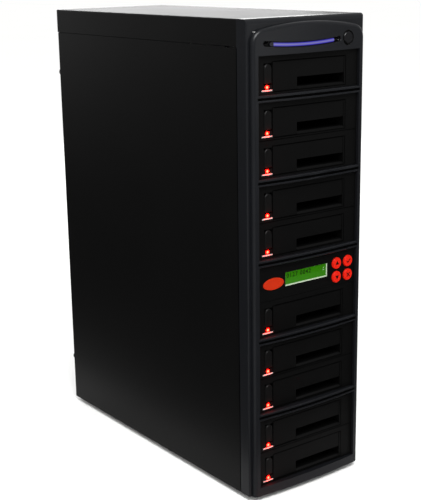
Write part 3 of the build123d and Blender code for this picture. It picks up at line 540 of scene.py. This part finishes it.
def screen_text(name, words, left, rise, material):
    """One line of figures lying on the screen."""
    bpy.ops.object.text_add(rotation=(math.radians(90), 0, 0))
    figures = bpy.context.object
    figures.name = name
    figures.data.body = words
    figures.data.size = FIGURE_HEIGHT * FONT_SIZE_PER_HEIGHT
    figures.data.offset = FIGURE_BOLDER
    figures.data.extrude = FIGURE_THICKNESS
    figures.data.space_character = 1.25
    bpy.ops.object.convert(target="MESH")
    figures.location = (glass_low.x + left, screen_y - FIGURE_THICKNESS, glass_low.z + rise)
    settle(figures, "case", material)


screen_text("screen_figures", "0127 0042", left=2.5 * MM, rise=9.3 * MM, material=screen_ink)
screen_text("screen_dots", ":", left=58.5 * MM, rise=8.6 * MM, material=screen_frame_paint)

# Badge: an oval enamelled plate with a raised rim, left bare
BADGE_X = -51.6 * MM
BADGE_Z = 262.7 * MM
BADGE_HALF = (15.2 * MM, 6.9 * MM)
BADGE_THICKNESS = 1.0 * MM
BADGE_ROUND = 0.35 * MM
BADGE_RIM = 0.8 * MM
BADGE_SLOPE = 0.25 * MM
BADGE_DISH = 0.2 * MM
badge = disc("oval_badge", 1.0, BADGE_THICKNESS, (BADGE_X, panel_front - BADGE_THICKNESS, BADGE_Z), sides=64)
badge.scale = (BADGE_HALF[0], 1, BADGE_HALF[1])
bpy.ops.object.transform_apply(location=False, rotation=False, scale=True)
round_rim(badge, faces_front, BADGE_ROUND, segments=3)
begin_edit(badge)
pick_faces(badge, faces_front)
bpy.ops.mesh.inset(thickness=BADGE_RIM)
bpy.ops.mesh.inset(thickness=BADGE_SLOPE)
bpy.ops.transform.translate(value=(0, BADGE_DISH, 0))
end_edit()
settle(badge, "case", badge_enamel)

# Marks on the keys: up, down, a tick and a cross
MARK_THICKNESS = 0.12 * MM
ARROW_RADIUS = 3.0 * MM
STROKE_HALF = 0.5 * MM
STROKE_OVERLAP = 0.4 * MM


def key_front(key):
    """The middle of a key's front."""
    low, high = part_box(key)
    return Vector(((low.x + high.x) / 2, low.y, (low.z + high.z) / 2))


def arrow_mark(name, key, turn):
    """A small solid triangle that points up, or down when turned."""
    front = key_front(key)
    mark = disc(name, ARROW_RADIUS, MARK_THICKNESS, front - Vector((0, MARK_THICKNESS, 0)), sides=3)
    begin_edit(mark)
    bpy.ops.mesh.select_all(action="SELECT")
    bpy.ops.transform.rotate(value=turn, orient_axis="Y", center_override=mark.location)
    end_edit()
    settle(mark, key, mark_ink)


def stroke_mark(name, key, strokes):
    """A mark of straight strokes, each between two points in millimetres from the key's middle."""
    front = key_front(key)
    bars = []
    for start, end in strokes:
        start, end = Vector((start[0], 0, start[1])) * MM, Vector((end[0], 0, end[1])) * MM
        half = (end - start).length / 2 + STROKE_OVERLAP
        bar = block(name, (-half, -MARK_THICKNESS, -STROKE_HALF), (half, 0, STROKE_HALF))
        bar.rotation_euler = (0, -math.atan2(end.z - start.z, end.x - start.x), 0)
        bar.location = front + (start + end) / 2 - Vector((0, MARK_THICKNESS / 2, 0))
        bars.append(bar)
    bpy.ops.object.select_all(action="DESELECT")
    for bar in bars:
        bar.select_set(True)
    bpy.context.view_layer.objects.active = bars[0]
    bpy.ops.object.join()
    settle(bars[0], key, mark_ink)


arrow_mark("mark_up", "key_up", math.radians(0))
arrow_mark("mark_down", "key_down", math.radians(180))
stroke_mark("mark_tick", "key_enter", [((-2.5, 0.0), (-0.7, -1.8)), ((-0.7, -1.8), (2.6, 2.0))])
stroke_mark("mark_cross", "key_escape", [((-2.1, -2.1), (2.1, 2.1)), ((-2.1, 2.1), (2.1, -2.1))])


# Trims on the bowed front: a ring around the power button, and a lip and a dark lining for the light bar.
# The black of the ring and the lining is painted shade, for the gap around the button and the recess of the
# bar
FRONT_BOW_RADIUS = 926.5 * MM
bezel_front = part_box("front_bezel")[0].y


def bow(x):
    """How far the bowed front lies behind its crown at x."""
    return FRONT_BOW_RADIUS - math.sqrt(FRONT_BOW_RADIUS ** 2 - x ** 2)


# The ring and the lip are wires that lie partly in the front; a share of 1 would sink them wholly
RING_RADIUS = 7.8 * MM
RING_WIRE = 1.05 * MM
RING_SUNK = 0.5
WIRE_SIDES = 10
button_low, button_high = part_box("power_button")
button_x = (button_low.x + button_high.x) / 2
bpy.ops.mesh.primitive_torus_add(
    major_segments=48, minor_segments=WIRE_SIDES, major_radius=RING_RADIUS, minor_radius=RING_WIRE,
    location=(
        button_x, bezel_front + bow(button_x) + RING_WIRE * RING_SUNK, (button_low.z + button_high.z) / 2,
    ),
    rotation=(math.radians(90), 0, math.asin(button_x / FRONT_BOW_RADIUS)),
)
ring = bpy.context.object
ring.name = "button_ring"
# The ring's black is painted shade for the gap around the button; its highlights come from the lights
settle(ring, "case", shade_gloss_black)

# The recess of the bar is a slot with round ends that follows the bar's arc
RECESS_HALF = 52.5 * MM
RECESS_ROUND = 3.1 * MM
RECESS_DEPTH = 4.6 * MM
RECESS_SIDES = 32
RECESS_CUTS = 30
LIP_WIRE = 0.7 * MM
LIP_SUNK = 0.9
LIP_OUTSIDE = 0.4
RECESS_SHADE_GAP = 0.02 * MM
RECESS_SHADE_THICKNESS = 0.2 * MM
RECESS_SHADE_WALL = 0.3 * MM
bar_bottom = BAR_CENTRE[2] - BAR_RADIUS


def stretch(piece):
    """Pull a round apart into a long slot shape with enough edges along it to be bent."""
    begin_edit(piece, "EDGE")
    mesh = bmesh.from_edit_mesh(piece.data)
    for vert in mesh.verts:
        vert.co.x += math.copysign(RECESS_HALF, vert.co.x - 0.01 * MM)
    bmesh.update_edit_mesh(piece.data)
    divide_long_edges(piece, RECESS_HALF, RECESS_CUTS)
    bpy.ops.mesh.select_all(action="DESELECT")


def bend(piece, follows_front):
    """Bend the slot shape along the bar's arc, and the vertices that follow it along the bowed front."""
    mesh = bmesh.from_edit_mesh(piece.data)
    for vert in mesh.verts:
        vert.co.z += BAR_RADIUS - math.sqrt(BAR_RADIUS ** 2 - vert.co.x ** 2)
        if follows_front(vert):
            vert.co.y += bow(vert.co.x + BAR_CENTRE[0])
    bmesh.update_edit_mesh(piece.data)
    end_edit()


bpy.ops.mesh.primitive_torus_add(
    major_segments=RECESS_SIDES, minor_segments=WIRE_SIDES,
    major_radius=RECESS_ROUND + LIP_WIRE * LIP_OUTSIDE, minor_radius=LIP_WIRE,
    location=(BAR_CENTRE[0], bezel_front + LIP_WIRE * LIP_SUNK, bar_bottom),
    rotation=(math.radians(90), 0, 0),
)
lip = bpy.context.object
lip.name = "bar_lip"
bpy.ops.object.transform_apply(location=False, rotation=True, scale=True)
stretch(lip)
bend(lip, lambda vert: True)
settle(lip, "case", button_abs)

# A dark sheet on the floor of the bar's recess: painted shade for the recess's darkness
recess_shade_depth = RECESS_DEPTH - LIP_WIRE
recess_shade = disc(
    "bar_recess_painted_shade", RECESS_ROUND - RECESS_SHADE_GAP, recess_shade_depth,
    (BAR_CENTRE[0], bezel_front + LIP_WIRE, bar_bottom), RECESS_SIDES,
)
stretch(recess_shade)
bpy.ops.mesh.select_mode(type="FACE")
pick_faces(recess_shade, faces_front)
bpy.ops.mesh.inset(thickness=RECESS_SHADE_WALL)
bpy.ops.transform.translate(value=(0, recess_shade_depth - RECESS_SHADE_THICKNESS, 0))
bend(recess_shade, lambda vert: vert.co.y < 0)
lens_copy = nodes["light_bar"].copy()
lens_copy.data = nodes["light_bar"].data.copy()
bpy.context.scene.collection.objects.link(lens_copy)
cut_out(recess_shade, lens_copy)
settle(recess_shade, "case", shade_gloss_black)

# Black pieces that fill the grooves of the crossbars and just cover their edges: painted shade for the
# grooves' darkness
CROSSBAR_MIDDLES = [height * MM for height in (473.7, 381.5, 289.3, 197.1, 104.9)]
GROOVE_SHADE_HALF = 75.6 * MM
GROOVE_SHADE_HALF_HEIGHT = 1.4 * MM
GROOVE_SHADE_PROUD = 0.03 * MM
GROOVE_FLOOR = 6.45 * MM
groove_shade = block(
    "groove_painted_shade",
    (-GROOVE_SHADE_HALF, bezel_front - GROOVE_SHADE_PROUD, CROSSBAR_MIDDLES[0] - GROOVE_SHADE_HALF_HEIGHT),
    (GROOVE_SHADE_HALF, bezel_front + GROOVE_FLOOR, CROSSBAR_MIDDLES[0] + GROOVE_SHADE_HALF_HEIGHT),
)
begin_edit(groove_shade, "EDGE")
divide_long_edges(groove_shade, GROOVE_SHADE_HALF, cuts=19)
mesh = bmesh.from_edit_mesh(groove_shade.data)
for vert in mesh.verts:
    if vert.co.y < 0:
        vert.co.y += bow(vert.co.x)
bmesh.update_edit_mesh(groove_shade.data)
end_edit()
copies_joined(groove_shade, [(0, 0, middle - CROSSBAR_MIDDLES[0]) for middle in CROSSBAR_MIDDLES[1:]])
settle(groove_shade, "case", painted_shade_black)

# Painted shade on the rack faces: a black frame in the gap around each door and a black strip in the gap
# between racks that stand on each other, where shade falls
GAP_SHADE_WIDTH = 0.8 * MM
GAP_SHADE_PROUD = 0.12 * MM
GAP_SHADE_ROUND = 0.04 * MM
DOOR_CLEARANCE = 0.35 * MM
door_low, door_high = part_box("drive_door_01")
gap_shade_reach = Vector((DOOR_CLEARANCE + GAP_SHADE_WIDTH, 0, DOOR_CLEARANCE + GAP_SHADE_WIDTH))
door_gap_shade = block(
    "door_gap_painted_shade",
    Vector((door_low.x, rack_front - GAP_SHADE_PROUD, door_low.z)) - gap_shade_reach,
    Vector((door_high.x, rack_front, door_high.z)) + gap_shade_reach,
)
begin_edit(door_gap_shade)
pick_faces(door_gap_shade, lambda face: faces_front(face) or faces_rear(face))
bpy.ops.mesh.inset(thickness=GAP_SHADE_WIDTH)
bpy.ops.mesh.bridge_edge_loops()
end_edit()
copies_joined(door_gap_shade, rack_shifts)
settle(door_gap_shade, "case", painted_shade_black)

STACKED_PITCH_LIMIT = 45 * MM
RACK_STRIP_INSET = 1 * MM
stacked = [low for low, above in zip(rack_lows[1:], rack_lows) if above - low < STACKED_PITCH_LIMIT]
strip_z = stacked[0] + (frame_high.z - frame_low.z)
rack_gap_shade = block(
    "rack_gap_shade",
    (frame_low.x + RACK_STRIP_INSET, rack_front - GAP_SHADE_PROUD, strip_z - GAP_SHADE_WIDTH / 3),
    (frame_high.x - RACK_STRIP_INSET, rack_front, strip_z + GAP_SHADE_WIDTH * 2 / 3),
)
round_rim(rack_gap_shade, faces_front, GAP_SHADE_ROUND, segments=2)
copies_joined(rack_gap_shade, [(0, 0, low - stacked[0]) for low in stacked[1:]])
settle(rack_gap_shade, "case", painted_shade_black)

# A black strip in the seam between the moulded front and the steel sides: painted shade for the seam's
# darkness
SEAM_SHADE_WIDTH = 1.2 * MM
SEAM_SHADE_PROUD = 0.06 * MM
SEAM_SHADE_DEPTH = 1.5 * MM
SEAM_SHADE_ROUND = 0.03 * MM
SEAM_SHADE_END_GAP = 1 * MM
side_low, side_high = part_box("left_side_panel")
seam_shade = block(
    "front_seam_painted_shade",
    (side_low.x - SEAM_SHADE_PROUD, side_low.y - SEAM_SHADE_WIDTH / 2, side_low.z + SEAM_SHADE_END_GAP),
    (side_low.x + SEAM_SHADE_DEPTH, side_low.y + SEAM_SHADE_WIDTH / 2, side_high.z - SEAM_SHADE_END_GAP),
)
round_rim(seam_shade, faces_left, SEAM_SHADE_ROUND, segments=2)
copies_joined(seam_shade, [(-2 * side_low.x + SEAM_SHADE_PROUD - SEAM_SHADE_DEPTH, 0, 0)])
settle(seam_shade, "case", painted_shade_black)


# Screws: knurled thumb screws that hold the side panels, and pan-head screws on the rear

def cross_cut(piece, width, length, depth):
    """Cut a cross recess into the rear-facing head of a screw."""
    top = max((piece.matrix_world @ v.co).y for v in piece.data.vertices)
    for size in ((length, width), (width, length)):
        place = piece.location
        cut_out(piece, block(
            "cutter", (place.x - size[0] / 2, top - depth, place.z - size[1] / 2),
            (place.x + size[0] / 2, top + depth, place.z + size[1] / 2),
        ))


def pan_heads(name, radius, height, places):
    """Pan-head screws with a cross recess, seated at their places and facing the rear."""
    screw = disc(name, radius, height, places[0], sides=20)
    round_rim(screw, faces_rear, height * 0.45, segments=3)
    cross_cut(screw, width=radius * 0.28, length=radius * 1.15, depth=height * 0.6)
    copies_joined(screw, [Vector(place) - Vector(places[0]) for place in places[1:]])
    settle(screw, "case", screw_steel)


THUMB_RADIUS = 4.95 * MM
THUMB_CAD_RADIUS = 5 * MM
THUMB_TEETH = 30
TOOTH_GAP = 0.08 * MM
TOOTH_DEPTH = 0.25 * MM
THUMB_RIM = 1.2 * MM
THUMB_SLOPE = 0.3 * MM
THUMB_DISH = 0.6 * MM
thumb_low, thumb_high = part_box("thumb_screws")
thumb_x = thumb_high.x - THUMB_CAD_RADIUS
thumb_rise = thumb_high.z - thumb_low.z - 2 * THUMB_CAD_RADIUS
thumbs = disc(
    "knurled_thumb_screws", THUMB_RADIUS, thumb_high.y - thumb_low.y,
    (-thumb_x, thumb_low.y, thumb_low.z + THUMB_CAD_RADIUS), 2 * THUMB_TEETH,
)
begin_edit(thumbs)
pick_faces(thumbs, lambda face: abs(face.normal.y) < 0.1 and face.index % 2 == 0)
bpy.ops.mesh.inset(thickness=TOOTH_GAP, use_individual=True)
bpy.ops.transform.shrink_fatten(value=-TOOTH_DEPTH)
bpy.ops.mesh.select_all(action="DESELECT")
pick_faces(thumbs, faces_rear)
bpy.ops.mesh.inset(thickness=THUMB_RIM)
bpy.ops.mesh.inset(thickness=THUMB_SLOPE)
bpy.ops.transform.translate(value=(0, -THUMB_DISH, 0))
end_edit()
cross_cut(thumbs, width=0.9 * MM, length=4.6 * MM, depth=1.6 * MM)
copies_joined(thumbs, [(0, 0, thumb_rise), (2 * thumb_x, 0, 0), (2 * thumb_x, 0, thumb_rise)])
settle(thumbs, "case", screw_steel)
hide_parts("thumb_screws")

FAN_SCREW_HALF = 52.5 * MM
rear_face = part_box("rear_panel")[1].y
fan_middles = [(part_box(rotor)[0].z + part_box(rotor)[1].z) / 2 for rotor in ROTORS]
pan_heads("fan_screws", radius=3.6 * MM, height=1.6 * MM, places=[
    (side * FAN_SCREW_HALF, rear_face, middle + up * FAN_SCREW_HALF)
    for middle in fan_middles for side in (-1, 1) for up in (-1, 1)
])

SUPPLY_SCREW_INSET = 9 * MM
supply_low, supply_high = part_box("power_supply")
pan_heads("supply_screws", radius=3.2 * MM, height=1.5 * MM, places=[
    (x, supply_high.y, z)
    for x in (supply_low.x + SUPPLY_SCREW_INSET, supply_high.x - SUPPLY_SCREW_INSET)
    for z in (supply_low.z + SUPPLY_SCREW_INSET, supply_high.z - SUPPLY_SCREW_INSET)
])

# Floor and air: near-white, as the ground that the photo's object is cut out on

bpy.ops.mesh.primitive_plane_add(size=600)
floor = bpy.context.object
floor.name = "studio_floor"
floor_material, floor_place = start_material("pale_studio_floor")
close_material(floor_material, {
    "Base Color": two_tones(floor_material, floor_place, 0.9, "#f8f8f7", "#fbfbfa"),
    "Roughness": 0.9,
    "Specular IOR Level": 0.0,
})
floor.data.materials.append(floor_material)

world = bpy.data.worlds.new("studio_air")
bpy.context.scene.world = world
world.use_nodes = True
air = world.node_tree.nodes["Background"]
air.inputs["Color"].default_value = linear("#ffffff")
air.inputs["Strength"].default_value = 1.05

# Black cards beside the set, which only reflections see and which keep the black paint dark
CARD_ABOVE_FLOOR = 4 * MM


def black_card(name, place, size, turn):
    """One card of black paper."""
    bpy.ops.mesh.primitive_plane_add(size=1, location=place, rotation=turn)
    card = bpy.context.object
    card.name = name
    card.scale = (size[0], size[1], 1)
    material, spot = start_material(name)
    close_material(material, {
        "Base Color": two_tones(material, spot, 0.5, "#040404", "#060606"),
        "Roughness": 1.0,
        "Specular IOR Level": 0.0,
    })
    card.data.materials.append(material)
    card.visible_camera = False
    card.visible_diffuse = False
    card.visible_shadow = False


black_card("card_left_floor", place=(-2.55, 2.6, CARD_ABOVE_FLOOR), size=(4.8, 5.6), turn=(0, 0, 0))
black_card("card_right_floor", place=(2.9, -3.1, CARD_ABOVE_FLOOR), size=(6.2, 5.6), turn=(0, 0, 0))
black_card("card_left_rear", place=(-2.5, 3.4, 0.8), size=(2.8, 1.6), turn=(math.radians(90), 0, 0))


# Lights, with their power in watts

def add_light(name, kind, place, power):
    """A light at its place; returns its settings and its object."""
    light = bpy.data.lights.new(name, kind)
    light.energy = power
    holder = bpy.data.objects.new(name, light)
    holder.location = place
    bpy.context.scene.collection.objects.link(holder)
    return light, holder


def softbox(name, place, target, size, power, only_in_gloss=False):
    """A square soft light that points at the target; some show only as a sheen on what is glossy."""
    light, holder = add_light(name, "AREA", place, power)
    light.shape = "RECTANGLE"
    light.size = size[0]
    light.size_y = size[1]
    holder.rotation_euler = (Vector(target) - Vector(place)).to_track_quat("-Z", "Y").to_euler()
    holder.visible_camera = False
    holder.visible_diffuse = not only_in_gloss


# The light that each red lamp throws on the face around it
GLOW_IN_FRONT = 2 * MM
for number, low in enumerate(rack_lows, start=1):
    glow, holder = add_light(
        f"lamp_glow_{number}", "POINT", (LAMP_X, rack_front - GLOW_IN_FRONT, low + LAMP_RISE), power=0.02,
    )
    glow.color = (1.0, 0.02, 0.01)
    glow.shadow_soft_size = 1 * MM
    holder.visible_glossy = False

softbox("overhead", place=(-0.5, -1.15, 1.75), target=(0, 0, 0.28), size=(0.8, 0.8), power=30)
softbox("behind", place=(1.44, 2.17, 0.95), target=(0, 0, 0.56), size=(1.1, 0.8), power=12)
softbox(
    "sheen_rear_left", place=(-0.9, 3.1, 0.8), target=(0, 0.1, 0.4), size=(0.7, 1.2), power=8,
    only_in_gloss=True,
)
softbox(
    "sheen_shoulder", place=(-0.56, -1.1, 1.65), target=(0, -0.2, 0.54), size=(0.9, 0.9), power=80,
    only_in_gloss=True,
)
softbox(
    "sheen_front", place=(1.4, -2.85, 0.65), target=(0, -0.2, 0.54), size=(0.9, 0.8), power=12,
    only_in_gloss=True,
)

bpy.context.scene.view_settings.view_transform = "Standard"

# Camera, fitted to about sixty points of the photo
CAMERA_PLACE = (-0.8276, -1.1379, 0.6202)
CAMERA_DEGREES = (75.356, 0.934, -36.648)
SENSOR_WIDTH = 36.0
FOCAL_LENGTH = 79.94
camera_data = bpy.data.cameras.new("photo_camera")
camera_data.sensor_width = SENSOR_WIDTH
camera_data.lens = FOCAL_LENGTH
camera_data.clip_end = 100
camera = bpy.data.objects.new("photo_camera", camera_data)
camera.location = CAMERA_PLACE
camera.rotation_euler = [math.radians(angle) for angle in CAMERA_DEGREES]
bpy.context.scene.collection.objects.link(camera)
bpy.context.scene.camera = camera
